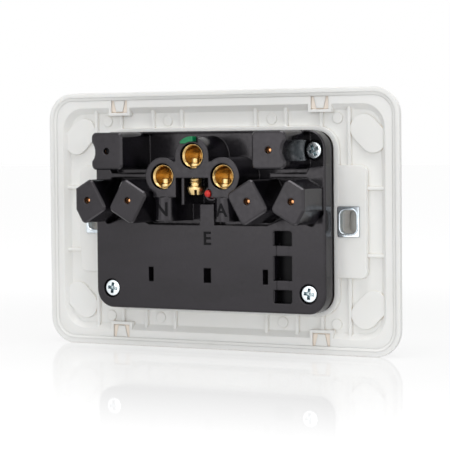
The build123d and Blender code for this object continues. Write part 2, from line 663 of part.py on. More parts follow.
# Rear housing: shell with a sunken tray, pillars, terminal boss and barrels
with BuildPart() as rear_housing:
    with BuildSketch(at(POCKET_LEVEL)):
        RectangleRounded(HOUSING_W, HOUSING_H, HOUSING_CORNER)
    extrude(amount=LID_LEVEL - POCKET_LEVEL)
    with BuildSketch(at(LID_LEVEL)):
        RectangleRounded(LID_W, LID_H, LID_CORNER)
    extrude(amount=HOUSING_LEVEL - LID_LEVEL)
    fillet(rear_housing.edges().group_by(Axis.Y)[-1], HOUSING_EDGE)

    # Sunken tray, whose lower edge peaks between the slanted pillars and rises at the sides
    tray_x = LID_W / 2 - TRAY_RIM
    tray_y = LID_H / 2 - TRAY_RIM
    with BuildSketch(at(TRAY_LEVEL)):
        RectangleRounded(2 * tray_x, 2 * tray_y, LID_CORNER - TRAY_RIM)
        bar(-HOUSING_W, HOUSING_W, STEP_Y, -HOUSING_H, Mode.SUBTRACT)
        for side, _ in SIDES:
            x = side * SOCKET_X
            outline(
                (x - PIN_X, STEP_Y),
                (x + PIN_X, STEP_Y),
                (x, STEP_Y + STEP_PEAK),
                mode=Mode.SUBTRACT,
            )
            outline(
                (side * (tray_x - STEP_SIDE), STEP_Y),
                (side * tray_x, STEP_Y),
                (side * tray_x, STEP_Y + STEP_SIDE_RISE),
                mode=Mode.SUBTRACT,
            )
    extrude(amount=HOUSING_LEVEL - TRAY_LEVEL, mode=Mode.SUBTRACT)

    # Pillars, the outer ones trimmed at the side and the earth ones relieved for the screws
    with BuildSketch(at(TRAY_LEVEL)):
        for x, y, turn in EARTH_PINS:
            with Locations((x, y)):
                RectangleRounded(EARTH_PILLAR_W, EARTH_PILLAR_H, PILLAR_CORNER)
        for x, y, turn in ACTIVE_PINS + NEUTRAL_PINS:
            with Locations((x, y - PILLAR_SHIFT)):
                RectangleRounded(PILLAR_W, PILLAR_LENGTH, PILLAR_CORNER, rotation=turn)
        Rectangle(HOUSING_W - 2 * PILLAR_SIDE_GAP, 2 * HOUSING_H, mode=Mode.INTERSECT)
        for side, _ in SIDES:
            disc(side * (UPPER_SCREW_X + RELIEF_OUT), SCREW_Y, RELIEF_R, Mode.SUBTRACT)
    extrude(amount=PILLAR_LEVEL - TRAY_LEVEL)
    chamfer(rear_housing.edges().group_by(Axis.Y)[-1], PILLAR_EDGE)

    # Ridges with shoulders below the upper screws, and the bridge below the earth screw
    ridge_start = SOCKET_X - RIDGE_START
    ridge_bend = SIDE_X - RIDGE_BEND
    with BuildSketch(at(TRAY_LEVEL)):
        for side, _ in SIDES:
            outline(
                (side * ridge_start, RIDGE_Y),
                (side * ridge_bend, RIDGE_Y),
                (side * (ridge_bend + SHOULDER_SLOPE), SHOULDER_Y),
                (side * tray_x, SHOULDER_Y),
                (side * tray_x, RIDGE_Y - RIDGE_FALL - RIDGE_T),
                (side * ridge_bend, RIDGE_Y - RIDGE_T),
                (side * ridge_start, RIDGE_Y - RIDGE_T),
            )
        bar(-BRIDGE_HALF, BRIDGE_HALF, STEP_Y, BRIDGE_Y)
    extrude(amount=HOUSING_LEVEL - TRAY_LEVEL)

    # Terminal boss: an arch and two lobes joined by a web, with a foot above each barrel
    with BuildSketch(at(TRAY_LEVEL)):
        for _, x, y, _, _ in TERMINALS:
            disc(x, y, LOBE_R)
        bar(-LOBE_R, LOBE_R, WINDOW_Y, EARTH_TERMINAL_Y)
        bar(-SIDE_TERMINAL_X, SIDE_TERMINAL_X, WINDOW_Y, WEB_Y)
        for side, _ in SIDES:
            bar(side * WINDOW_HALF, side * (SIDE_TERMINAL_X + FOOT_OUTER), FOOT_Y, SIDE_TERMINAL_Y)
        bar(-WINDOW_HALF, WINDOW_HALF, FOOT_Y, WINDOW_Y, Mode.SUBTRACT)
    extrude(amount=BOSS_LEVEL - TRAY_LEVEL)
    with BuildSketch(at(TRAY_LEVEL)):
        bar(-GUIDE_HALF - GUIDE_T, -GUIDE_HALF, BRIDGE_Y, WINDOW_Y)
    extrude(amount=GUIDE_LEVEL - TRAY_LEVEL)
    with BuildSketch(at(TRAY_LEVEL)):
        disc(RED_X, RED_Y, RED_BOSS_R)
    extrude(amount=BOSS_LEVEL - RED_BOSS_DROP - RED_PROUD - TRAY_LEVEL)
    for side, _ in SIDES:
        with BuildSketch(upward(side * SIDE_TERMINAL_X, BARREL_END_Y, CLAMP_LEVEL)):
            Circle(BARREL_R)
            bar(-BARREL_R, BARREL_R, 0, CLAMP_LEVEL - TRAY_LEVEL)
        extrude(amount=FOOT_Y - BARREL_END_Y)

    # Chamber, clip pockets with test holes, and the bores of the boss and barrels
    chamber_w = HOUSING_W - 2 * HOUSING_WALL
    chamber_h = HOUSING_H - 2 * HOUSING_WALL
    chamber_corner = HOUSING_CORNER - HOUSING_WALL
    with BuildSketch(at(POCKET_LEVEL)):
        RectangleRounded(chamber_w, chamber_h, chamber_corner)
    extrude(amount=UPPER_CEILING - POCKET_LEVEL, mode=Mode.SUBTRACT)
    with BuildSketch(at(UPPER_CEILING)):
        RectangleRounded(chamber_w, chamber_h, chamber_corner)
        bar(-HOUSING_W, HOUSING_W, STEP_Y - STEP_WALL, HOUSING_H, Mode.SUBTRACT)
    extrude(amount=LOWER_CEILING - UPPER_CEILING, mode=Mode.SUBTRACT)
    for x, y, turn in ALL_PINS:
        with BuildSketch(at(UPPER_CEILING)):
            with Locations((x, y)):
                Rectangle(LEAF_ACROSS + 2 * LEAF_ROOM, LEAF_W + 2 * LEAF_ROOM, rotation=turn)
        extrude(amount=PILLAR_LEVEL - TIP_WALL - UPPER_CEILING, mode=Mode.SUBTRACT)
        with BuildSketch(at(PILLAR_LEVEL)):
            disc(x, y, TEST_HOLE_R)
        extrude(amount=-TIP_WALL, mode=Mode.SUBTRACT)
    for _, x, y, _, passage_y in TERMINALS:
        with BuildSketch(at(UPPER_CEILING)):
            disc(x, y, TUNNEL_OUTER_R + TUNNEL_GAP)
        extrude(amount=BOSS_LEVEL - UPPER_CEILING, mode=Mode.SUBTRACT)
        with BuildSketch(upward(x, passage_y, CLAMP_LEVEL)):
            Circle(CLAMP_R + CLAMP_HOLE_GAP)
        extrude(amount=y - passage_y, mode=Mode.SUBTRACT)
    for side, _ in SIDES:
        with BuildSketch(upward(side * SIDE_TERMINAL_X, BARREL_END_Y, CLAMP_LEVEL)):
            Circle(CLAMP_HEAD_R + CLAMP_HEAD_GAP)
        extrude(amount=FOOT_Y - BARREL_END_Y, mode=Mode.SUBTRACT)

    # Bosses of the housing screws and ribs that hold the strips down
    for x, y, seat in SCREWS:
        with BuildSketch(at(POCKET_LEVEL)):
            disc(x, y, SCREW_BOSS_R)
        extrude(amount=seat - POCKET_LEVEL)
        with BuildSketch(at(seat)):
            disc(x, y, SCREW_HEAD_R + SCREW_SEAT_GAP)
        extrude(amount=BACK_WALL, mode=Mode.SUBTRACT)
        with BuildSketch(at(POCKET_LEVEL)):
            disc(x, y, SCREW_R + SCREW_HOLE_GAP)
        extrude(amount=seat - POCKET_LEVEL, mode=Mode.SUBTRACT)
    with BuildSketch(at(UPPER_CEILING)):
        for side, _ in SIDES:
            post(side * TRUNK_POST_X, TRUNK_Y, POST_W)
    extrude(amount=LOWER_CEILING - UPPER_CEILING + BACK_WALL / 2)
    with BuildSketch(at(NEUTRAL_BACK)):
        for x in (0, SOCKET_X):
            post(x, NEUTRAL_Y, POST_W)
    extrude(amount=UPPER_CEILING - NEUTRAL_BACK + BACK_WALL / 2)

    # Blind slots and ports in the back with a skin behind them, and the seats of the two markers
    with BuildSketch(at(LOWER_CEILING)):
        back_openings(POCKET_SKIN)
    extrude(amount=BACK_WALL - POCKET_DEPTH - POCKET_SKIN)
    with BuildSketch(at(HOUSING_LEVEL)):
        back_openings()
        for low, high in PORT_BARS:
            bar(PORT_X - PORT_W / 2, PORT_X + PORT_W / 2, low, high, Mode.SUBTRACT)
    extrude(amount=-POCKET_DEPTH, mode=Mode.SUBTRACT)
    with BuildSketch(at(HOUSING_LEVEL)):
        bar(PORT_X - GROOVE_W / 2, PORT_X + GROOVE_W / 2, PORT_BARS[1][0], PORT_BARS[0][1])
    extrude(amount=-GROOVE_DEPTH, mode=Mode.SUBTRACT)
    with BuildSketch(at(RED_BASE)):
        disc(RED_X, RED_Y, RED_HOLE_R)
    extrude(amount=BOSS_LEVEL - RED_BASE, mode=Mode.SUBTRACT)
    with BuildSketch(at(BOSS_LEVEL)):
        crown(2 * LOBE_R, GREEN_LEFT, GREEN_RIGHT + GREEN_NOTCH, MARKER_FIT)
    extrude(amount=-GREEN_LENGTH - MARKER_FIT, mode=Mode.SUBTRACT)
finish(rear_housing, "rear_housing")

for name, x, y, foot, _ in TERMINALS:
    # Tunnel terminal: a brass cup standing on its strip, tapped for the clamp screw
    with BuildPart() as terminal:
        with BuildSketch(at(foot)):
            disc(x, y, TUNNEL_OUTER_R)
        extrude(amount=TUNNEL_LEVEL - foot)
        with BuildSketch(at(TUNNEL_LEVEL)):
            disc(x, y, TUNNEL_R)
        extrude(amount=-TUNNEL_DEPTH, mode=Mode.SUBTRACT)
        with BuildSketch(upward(x, y, CLAMP_LEVEL)):
            Circle(CLAMP_R + CLAMP_FIT)
        extrude(amount=-TUNNEL_OUTER_R, mode=Mode.SUBTRACT)
    finish(terminal, f"terminal_{name}")

    # Clamp screw, entering the tunnel from below
    tip_y = y - TUNNEL_R - CLAMP_TIP_GAP
    with BuildPart() as clamp:
        with BuildSketch(upward(x, tip_y, CLAMP_LEVEL)):
            Circle(CLAMP_R)
        extrude(amount=-CLAMP_LENGTH)
        with BuildSketch(upward(x, tip_y - CLAMP_LENGTH, CLAMP_LEVEL)):
            Circle(CLAMP_HEAD_R)
        extrude(amount=-CLAMP_HEAD_H)
    finish(clamp, f"terminal_screw_{name}")

# Green crown on the earth lobe and red pin beside the active terminal
with BuildPart() as earth_marker:
    with BuildSketch(at(BOSS_LEVEL)):
        crown(GREEN_R, GREEN_LEFT, GREEN_RIGHT)
    extrude(amount=-GREEN_LENGTH)
finish(earth_marker, "earth_marker")

with BuildPart() as active_marker:
    with BuildSketch(at(RED_BASE)):
        disc(RED_X, RED_Y, RED_HOLE_R - MARKER_FIT)
    extrude(amount=RED_FOOT)
    with BuildSketch(at(RED_BASE)):
        disc(RED_X, RED_Y, RED_R)
    extrude(amount=RED_DEPTH)
    fillet(active_marker.edges().group_by(Axis.Y)[-1], RED_DOME)
finish(active_marker, "active_marker")

# Housing screws, all four alike
with BuildPart() as housing_screws:
    for x, y, seat in SCREWS:
        with BuildSketch(at(seat)):
            disc(x, y, SCREW_HEAD_R)
        extrude(amount=SCREW_HEAD_H)
        with BuildSketch(at(seat)):
            disc(x, y, SCREW_R)
        extrude(amount=-SCREW_LENGTH)
finish(housing_screws, "housing_screws")

# Earth and neutral strips, each with a pad under its terminal and two pin clips
with BuildPart() as earth_bar:
    with BuildSketch(at(STRIP_FRONT)):
        disc(0, EARTH_TERMINAL_Y, STRIP_PAD_R)
        bar(-SOCKET_X, SOCKET_X, EARTH_Y - STRIP_W / 2, EARTH_Y + STRIP_W / 2)
    extrude(amount=STRIP_T)
    pin_clips(EARTH_PINS)
finish(earth_bar, "earth_bar")

with BuildPart() as neutral_bar:
    left_x = NEUTRAL_PINS[0][0]
    right_x = NEUTRAL_PINS[1][0]
    with BuildSketch(at(NEUTRAL_FRONT)):
        disc(-SIDE_TERMINAL_X, SIDE_TERMINAL_Y, STRIP_PAD_R)
        bar(left_x - STRIP_W / 2, right_x + STRIP_W / 2, NEUTRAL_Y - STRIP_W / 2, NEUTRAL_Y + STRIP_W / 2)
        bar(left_x - STRIP_W / 2, left_x + STRIP_W / 2, LIVE_Y, NEUTRAL_Y)
        bar(right_x - STRIP_W / 2, right_x + STRIP_W / 2, LIVE_Y, NEUTRAL_Y)
    extrude(amount=STRIP_T)
    pin_clips(NEUTRAL_PINS)
finish(neutral_bar, "neutral_bar")

# Active strip: from its terminal to the fulcrum ears of both switches
with BuildPart() as active_bar:
    with BuildSketch(at(STRIP_FRONT)):
        disc(SIDE_TERMINAL_X, SIDE_TERMINAL_Y, STRIP_PAD_R)
        riser_x = SIDE_TERMINAL_X - STRIP_W / 2
        bar(riser_x, riser_x + STRIP_W, TRUNK_Y, SIDE_TERMINAL_Y)
        trunk_x = ROCKER_X + EAR_OUTER
        bar(-trunk_x, trunk_x, TRUNK_Y - TRUNK_W / 2, TRUNK_Y + TRUNK_W / 2)
        for side, _ in SIDES:
            x = side * ROCKER_X
            bar(x - EAR_OUTER, x + EAR_OUTER, ROCKER_Y - EAR_HALF, TRUNK_Y)
    extrude(amount=STRIP_T)
    with BuildSketch(at(STRIP_FRONT)):
        for side, _ in SIDES:
            x = side * ROCKER_X
            bar(x - EAR_OUTER, x - EAR_INNER, ROCKER_Y - EAR_HALF, ROCKER_Y + EAR_HALF)
            bar(x + EAR_INNER, x + EAR_OUTER, ROCKER_Y - EAR_HALF, ROCKER_Y + EAR_HALF)
    extrude(amount=SEESAW_LEVEL - EAR_RISE - STRIP_FRONT)
    for side, _ in SIDES:
        with BuildSketch(side_on(tilted(side * ROCKER_X, ROCKER_Y, SEESAW_LEVEL, 0))):
            Circle(SEESAW_PIN_R + PIVOT_FIT)
            bar(-SEESAW_PIN_R - PIVOT_FIT, SEESAW_PIN_R + PIVOT_FIT, 0, -2 * EAR_RISE)
        extrude(amount=EAR_OUTER, both=True, mode=Mode.SUBTRACT)
finish(active_bar, "active_bar")

for side, name in SIDES:
    # Fixed contact: from the active pin clip to the tip above the switch
    pin = ACTIVE_PINS[0 if side < 0 else 1]
    switch_x = side * ROCKER_X
    with BuildPart() as fixed_contact:
        low_x = min(pin[0], switch_x) - STRIP_W / 2
        high_x = max(pin[0], switch_x) + STRIP_W / 2
        with BuildSketch(at(STRIP_FRONT)):
            bar(pin[0] - STRIP_W / 2, pin[0] + STRIP_W / 2, CROSS_Y, LIVE_Y)
            bar(low_x, high_x, CROSS_Y - STRIP_W / 2, CROSS_Y + STRIP_W / 2)
            bar(switch_x - STRIP_W / 2, switch_x + STRIP_W / 2, SWITCH_TIP_Y - TIP_R, CROSS_Y)
        extrude(amount=STRIP_T)
        with BuildSketch(at(STRIP_FRONT)):
            disc(switch_x, SWITCH_TIP_Y, TIP_R)
        extrude(amount=-FIXED_TIP_H)
        pin_clips([pin])
    finish(fixed_contact, f"active_contact_{name}")

    # See-saw contact, drawn with its switch off
    own = tilted(switch_x, ROCKER_Y, SEESAW_LEVEL, -SEESAW_SWING / 2)
    with BuildPart() as seesaw:
        with BuildSketch(own.offset(-STRIP_T / 2)):
            Rectangle(SEESAW_W, 2 * SEESAW_HALF)
        extrude(amount=STRIP_T)
        with BuildSketch(own.offset(STRIP_T / 2)):
            disc(0, TIP_ARM, TIP_R)
        extrude(amount=MOVING_TIP_H)
        for hand in (-1, 1):
            with BuildSketch(side_on(own).offset(hand * (SEESAW_W / 2 - STRIP_T))):
                Circle(SEESAW_PIN_R)
            extrude(amount=hand * (EAR_OUTER - SEESAW_W / 2 + STRIP_T))
    finish(seesaw, f"moving_contact_{name}")

    # Rocker: hollow key with cheeks, trunnions and a bored stem, drawn switched off
    own = tilted(switch_x, ROCKER_Y, PIVOT_LEVEL, ROCKER_SWING / 2)
    with BuildPart() as rocker:
        with BuildSketch(side_on(own)):
            with BuildLine():
                Polyline(
                    (-ROCKER_FRONT_HALF, -ROCKER_REACH),
                    (-ROCKER_HALF, -ROCKER_BACK),
                    (ROCKER_HALF, -ROCKER_BACK),
                    (ROCKER_FRONT_HALF, -ROCKER_REACH),
                )
                ThreePointArc(
                    (ROCKER_FRONT_HALF, -ROCKER_REACH),
                    (0, -ROCKER_REACH - ROCKER_CROWN),
                    (-ROCKER_FRONT_HALF, -ROCKER_REACH),
                )
            make_face()
            Circle(CHEEK_R)
            bar(-CHEEK_R, CHEEK_R, -ROCKER_BACK, 0)
        extrude(amount=ROCKER_W / 2, both=True)
        with BuildSketch(side_on(own)):
            outline(
                (ROCKER_WALL - ROCKER_FRONT_HALF, ROCKER_WALL - ROCKER_REACH),
                (ROCKER_FRONT_HALF - ROCKER_WALL, ROCKER_WALL - ROCKER_REACH),
                (ROCKER_HALF - ROCKER_WALL, -ROCKER_BACK),
                (ROCKER_HALF - ROCKER_WALL, CHEEK_R),
                (ROCKER_WALL - ROCKER_HALF, CHEEK_R),
                (ROCKER_WALL - ROCKER_HALF, -ROCKER_BACK),
            )
        extrude(amount=ROCKER_W / 2 - ROCKER_WALL, both=True, mode=Mode.SUBTRACT)
        with BuildSketch(own.offset(STEM_END)):
            Circle(STEM_R)
        extrude(amount=ROCKER_WALL / 2 - ROCKER_REACH - STEM_END)
        with BuildSketch(own.offset(STEM_END)):
            Circle(PLUNGER_R + PLUNGER_FIT)
        extrude(amount=-STEM_BORE, mode=Mode.SUBTRACT)
        for hand in (-1, 1):
            with BuildSketch(side_on(own).offset(hand * ROCKER_W / 2)):
                Circle(TRUNNION_R)
            extrude(amount=hand * (ROCKER_GAP + LUG_T - TRUNNION_GAP))
    finish(rocker, f"rocker_{name}")

    # Domed plunger inside the stem
    plunger_base = PLUNGER_TIP - PLUNGER_LENGTH
    with BuildPart() as plunger:
        with BuildSketch(side_on(own)):
            with BuildLine():
                Polyline(
                    (0, PLUNGER_TIP),
                    (0, plunger_base),
                    (PLUNGER_R, plunger_base),
                    (PLUNGER_R, PLUNGER_TIP - PLUNGER_R),
                )
                RadiusArc((PLUNGER_R, PLUNGER_TIP - PLUNGER_R), (0, PLUNGER_TIP), -PLUNGER_R)
            make_face()
        revolve(axis=Axis(own.origin, own.z_dir))
    finish(plunger, f"plunger_{name}")

    # Spring between the stem's floor and the plunger
    spring_start = STEM_END - STEM_BORE + SPRING_WIRE / 2 + SPRING_GAP
    spring_travel = plunger_base - SPRING_GAP - SPRING_WIRE / 2 - spring_start
    with BuildPart() as spring:
        with BuildLine(own.offset(spring_start)) as coil:
            Helix(spring_travel / SPRING_TURNS, spring_travel, SPRING_R, direction=own.z_dir)
        with BuildSketch(Plane(origin=coil.line @ 0, z_dir=coil.line % 0)):
            Rectangle(SPRING_WIRE, SPRING_WIRE)
        sweep(is_frenet=True)
    finish(spring, f"plunger_spring_{name}")
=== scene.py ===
"""Double socket outlet seen from its wiring side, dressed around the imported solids."""
import json
from math import cos, pi, radians, sin

import bmesh
import bpy
from mathutils import Matrix, Vector


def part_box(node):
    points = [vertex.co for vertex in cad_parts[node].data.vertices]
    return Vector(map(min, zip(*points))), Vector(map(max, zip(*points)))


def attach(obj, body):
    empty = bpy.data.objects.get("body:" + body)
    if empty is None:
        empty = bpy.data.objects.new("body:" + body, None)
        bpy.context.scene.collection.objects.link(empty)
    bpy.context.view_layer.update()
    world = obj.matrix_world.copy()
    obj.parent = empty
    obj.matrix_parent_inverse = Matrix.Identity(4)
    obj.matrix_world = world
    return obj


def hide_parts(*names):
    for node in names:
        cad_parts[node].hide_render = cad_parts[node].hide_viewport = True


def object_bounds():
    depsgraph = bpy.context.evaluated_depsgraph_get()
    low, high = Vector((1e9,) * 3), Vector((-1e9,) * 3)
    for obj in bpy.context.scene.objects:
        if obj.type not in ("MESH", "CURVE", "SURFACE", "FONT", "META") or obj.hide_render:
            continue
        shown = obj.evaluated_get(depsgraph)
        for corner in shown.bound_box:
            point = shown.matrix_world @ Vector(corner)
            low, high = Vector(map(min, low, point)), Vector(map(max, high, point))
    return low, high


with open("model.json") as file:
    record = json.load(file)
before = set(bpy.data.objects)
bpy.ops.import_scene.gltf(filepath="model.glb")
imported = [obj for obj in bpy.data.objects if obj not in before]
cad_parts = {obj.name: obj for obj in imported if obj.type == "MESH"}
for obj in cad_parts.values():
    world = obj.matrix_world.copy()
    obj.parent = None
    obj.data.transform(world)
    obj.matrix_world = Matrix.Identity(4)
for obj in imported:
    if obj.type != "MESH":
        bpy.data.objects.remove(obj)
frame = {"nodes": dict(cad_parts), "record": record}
cad_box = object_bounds()

# Lengths are in millimetres of the wiring-side view: u to that view's right, v up,
# w from the wall plane towards the wiring. Angles are in degrees, powers in watts.
MM = 0.001
VIEW = Matrix(((-1, 0, 0), (0, 0, 1), (0, 1, 0)))

# Stands a shape that was made along its own z upright in the view
UPRIGHT = Matrix(((1, 0, 0), (0, 0, 1), (0, -1, 0)))

# Camera, fitted to the photograph
CAMERA_YAW = 28.2615
CAMERA_PITCH = -2.5058
CAMERA_ROLL = -0.5358
CAMERA_AIM = (2.6956, -1.3611, 0.0)
CAMERA_DISTANCE = 544.6
CAMERA_CLIP = 10.0
FOCAL_PIXELS = 1864.09
IMAGE_PIXELS = 450
SENSOR = 36.0

# Surroundings: white where they are seen, softer where they light the object
SEEN_WHITE = 1.0
WORLD_LIGHT = 0.43

# Floor: its glow rises to white with the distance, and its mirror image fades out
FLOOR_HALF = 4000.0
FLOOR_LIGHT = 0.64
FLOOR_DIFFUSE = 0.25
FLOOR_GLOW = 0.83
FLOOR_NEAR = 100.0
FLOOR_FAR = 350.0
MIRROR_START = 0.41
MIRROR_REACH = 210.0
MIRROR_ROUGHNESS = 0.03

# Lamps: name, place, aim, side and power
LAMPS = (
    ("key", (-168, 80, 690), (0, 0, 0), 445, 0.9),
    ("fill", (440, 140, 660), (0, 0, 0), 1000, 2.2),
    ("top", (40, 480, 70), (0, 0, 5), 340, 1.65),
    ("right", (480, 60, 255), (0, 0, 5), 200, 0.1),
)

# Materials: the values between which a noise mostly stays, and samples for the painted gap shade and the
# edges
NOISE_SPAN = (0.3, 0.7)
GAP_SHADE_SAMPLES = 8
EDGE_SAMPLES = 6

# Mesh making
SHARP_ANGLE = 35
THREAD_STEPS = 8
CORNER_STEPS = 10
FINE_SEGMENTS = 48
MEDIUM_SEGMENTS = 32
COARSE_SEGMENTS = 24
CUT_PAST = 1.0

# Housing screws: u, v, seat and turn of the recess
SCREWS = (
    (-33.0, 20.3, 1.7, 5),
    (33.0, 20.3, 1.7, 24),
    (-32.5, -20.3, 4.3, -8),
    (32.5, -20.3, 4.3, -5),
)
SCREW_HEAD_R = 2.5
SCREW_HEAD_H = 1.6
SCREW_UNDERSIDE = (0.4, -0.1)
SCREW_EDGE = 0.15
SCREW_RIM_H = 1.0
SCREW_CROWN_R = 0.4
SCREW_CROWN_H = 0.5
SCREW_CROWN_STEPS = 6
SCREW_CROWN_LEAN = 80
SCREW_R = 1.45
SCREW_LENGTH = 8.5
SCREW_TIP_R = 0.3
SCREW_POINT = 0.9
SCREW_NECK = 0.4
SCREW_RUNOUT = 0.1
SCREW_PITCH = 1.12
SCREW_THREAD_DEPTH = 0.3

# Top of a housing screw's head: share of its radius, depth below its middle
SCREW_TOP = ((0.6, 0.05), (0.3, 0.01), (0.08, 0.0))

# Cross recess: reach and half width of its arms, height above the top of the head
RECESS_FOOT = (1.2, 0.42, -1.0)
RECESS_MOUTH = (1.75, 0.5, 0.2)

# Cone in the middle of the recess: radius, height above the top of the head
RECESS_CONE = ((0.3, -1.25), (0.85, 0.15))

# Terminals: name, u, v of the tunnel's axis, v of the clamp screw's origin
BARREL_U = 9.8
TERMINALS = (
    ("earth", 0.0, 19.0, 16.12),
    ("neutral", -BARREL_U, 13.1, 10.22),
    ("active", BARREL_U, 13.1, 10.22),
)

# Clamp screws: the head is below the origin, the ends of thread and point are above it
CLAMP_W = 12.3
CLAMP_R = 1.8
CLAMP_LENGTH = 5.9
CLAMP_HEAD_R = 2.5
CLAMP_HEAD_H = 2.4
CLAMP_BITE = 0.9
CLAMP_EASE = 0.3
CLAMP_STEP = 0.05
CLAMP_POINT = 2.3
CLAMP_POINT_R = 1.1
CLAMP_POINT_EASE = 0.2
CLAMP_PITCH = 0.8
CLAMP_THREAD_DEPTH = 0.3
CLAMP_SLOT = 0.38
CLAMP_SLOT_DEPTH = 1.5
CLAMP_TURN = 25

# Head of a clamp screw from its lower end up: inset from its radius, depth below its top
CLAMP_HEAD = ((0.8, CLAMP_HEAD_H), (0.55, 2.15), (0.0, 0.9), (0.0, 0.3), (0.3, 0.0), (1.0, -0.1))

# Tunnels, and the tapped holes below them
TUNNEL_W = 14.2
TUNNEL_R = 2.8
TUNNEL_OUTER_R = 3.4
TUNNEL_DEPTH = 9.0
TUNNEL_EDGE = 0.1
TUNNEL_FLOOR_EDGE = 0.4
TUNNEL_CHAMFER = 0.42
TUNNEL_CHAMFER_DEPTH = 0.52
TAP_START = 1.0
TAP_CLEARANCE = 0.02

# Letters: text, u and v of the middle, height, whether a barrel carries it
LETTERS = (
    ("N", -BARREL_U + 0.1, 3.7, 4.0, True),
    ("A", BARREL_U, 3.6, 3.8, True),
    ("E", 0.0, -5.0, 3.9, False),
)
BARREL_W = 12.3
BARREL_R = 3.2
PANEL_W = 6.1
LETTER_RISE = 0.1
LETTER_SINK = 0.05
LETTER_SLICE = 0.25
LETTER_BOLD = 0.03
FONT_CAPITAL = 0.7
SAME_POINT = 1e-5

# Wall-screw inserts; the sections hold (outward, upward) points from the slot's upper edge
SLOT_U = 42.0
SLOT_W = 4.9
SLOT_LENGTH = 6.6
SLOT_CORNER = 1.6
INSERT_TOP = -0.35
RIM_SECTION = (
    (0.02, -0.2), (0.02, 0.1), (0.12, 0.24), (0.3, 0.3), (0.48, 0.22), (0.6, 0.0), (0.6, -0.2),
)
SLEEVE_SECTION = ((0.25, -1.6), (0.75, -1.6), (0.75, -7.2), (0.25, -7.2))

# Joint between the cover and the base plate; its section starts from the plate's upper edge
BASE_W = 112.8
BASE_H = 72.8
BASE_CORNER = 6.4
LEDGE_TOP = -0.3
SEAM_SECTION = (
    (-0.8, -0.1), (0.14, -0.1), (0.14, 0.29), (-0.1, 0.19), (-0.35, 0.1), (-0.6, 0.03), (-0.8, 0.01),
)

# Webs beside the snap tongues: (along, v) outlines, mirrored to all four tongues
TONGUE_U = 33.3
WEB_CORNERS = ((1.15, 32.25), (2.75, 32.05), (2.75, 36.3), (2.1, 36.3))
WEB_STRIP = ((-2.7, 31.93), (2.7, 31.93), (2.7, 32.19), (-2.7, 32.19))
WEB_FOOT = -1.7
WEB_TOP = -0.8

# Test holes: copper shows in all but one, which holds a dark sheet of painted shade; the profiles hold
# (radius, height) points
TEST_HOLES = ((26.3, 20.5), (19.44, 6.2), (33.16, 6.2), (-19.44, 6.2), (-33.16, 6.2))
BARE_TEST_HOLE = (-26.3, 20.5)
TEST_HOLE_FLOOR = 16.7
CLIP_PROFILE = ((0.95, 0.0), (0.95, 0.2), (0.85, 0.42), (0.65, 0.58), (0.35, 0.68), (0.05, 0.7))
BARE_PROFILE = ((0.95, -0.1), (0.95, 0.5), (0.85, 0.6))

# Openings in the housing's back: low and high ends, dark sheets of painted shade, leaning lips
PORT_SPANS = ((-6.7, -2.55), (-16.7, -9.7), (-23.2, -19.4))
PORT_U = 24.4
PORT_HALF = 3.0
PORT_CHAMFER = 0.8
PORT_SHADE_FOOT = 2.2
PORT_SHADE_TOP = 2.33
PORT_LIP = 0.6
PORT_LIP_DEPTH = 1.5
PORT_LIP_ROOT = 0.05
PORT_LIP_BELOW = 0.02

# Red marker pin
PIN_U = 4.9
PIN_V = 8.2
PIN_FOOT_R = 1.4
PIN_FOOT_H = 0.5
PIN_SHOULDER = 0.1
PIN_R = 1.0
PIN_TOP = 14.9
PIN_DOME = 0.6
PIN_DOME_STEPS = 7
PIN_DOME_LEAN = 85


def place(u, v, w):
    """Point of the wiring-side view in metres of the shared frame."""
    return VIEW @ Vector((u, v, w)) * MM


# Materials

def srgb(red, green, blue):
    """Colour written as 0 to 255 display values, as the linear colour that nodes take."""
    linear = []
    for value in (red, green, blue):
        share = value / 255
        linear.append(((share + 0.055) / 1.055) ** 2.4 if value > 10 else share / 12.92)
    return (*linear, 1.0)


def set_inputs(node, values):
    """Set constants on a node's sockets; _ in a name stands for a space."""
    for name, value in values.items():
        node.inputs[name.replace("_", " ")].default_value = value


def add_node(tree, kind, **values):
    """New shader node with constants on its sockets."""
    node = tree.nodes.new(f"ShaderNode{kind}")
    set_inputs(node, values)
    return node


def map_range(tree, source, before, after, interpolation="LINEAR"):
    """Socket's value carried over from one (low, high) range to another."""
    (from_low, from_high), (low, high) = before, after
    node = add_node(tree, "MapRange", From_Min=from_low, From_Max=from_high, To_Min=low, To_Max=high)
    node.interpolation_type = interpolation
    tree.links.new(source, node.inputs["Value"])
    return node.outputs["Result"]


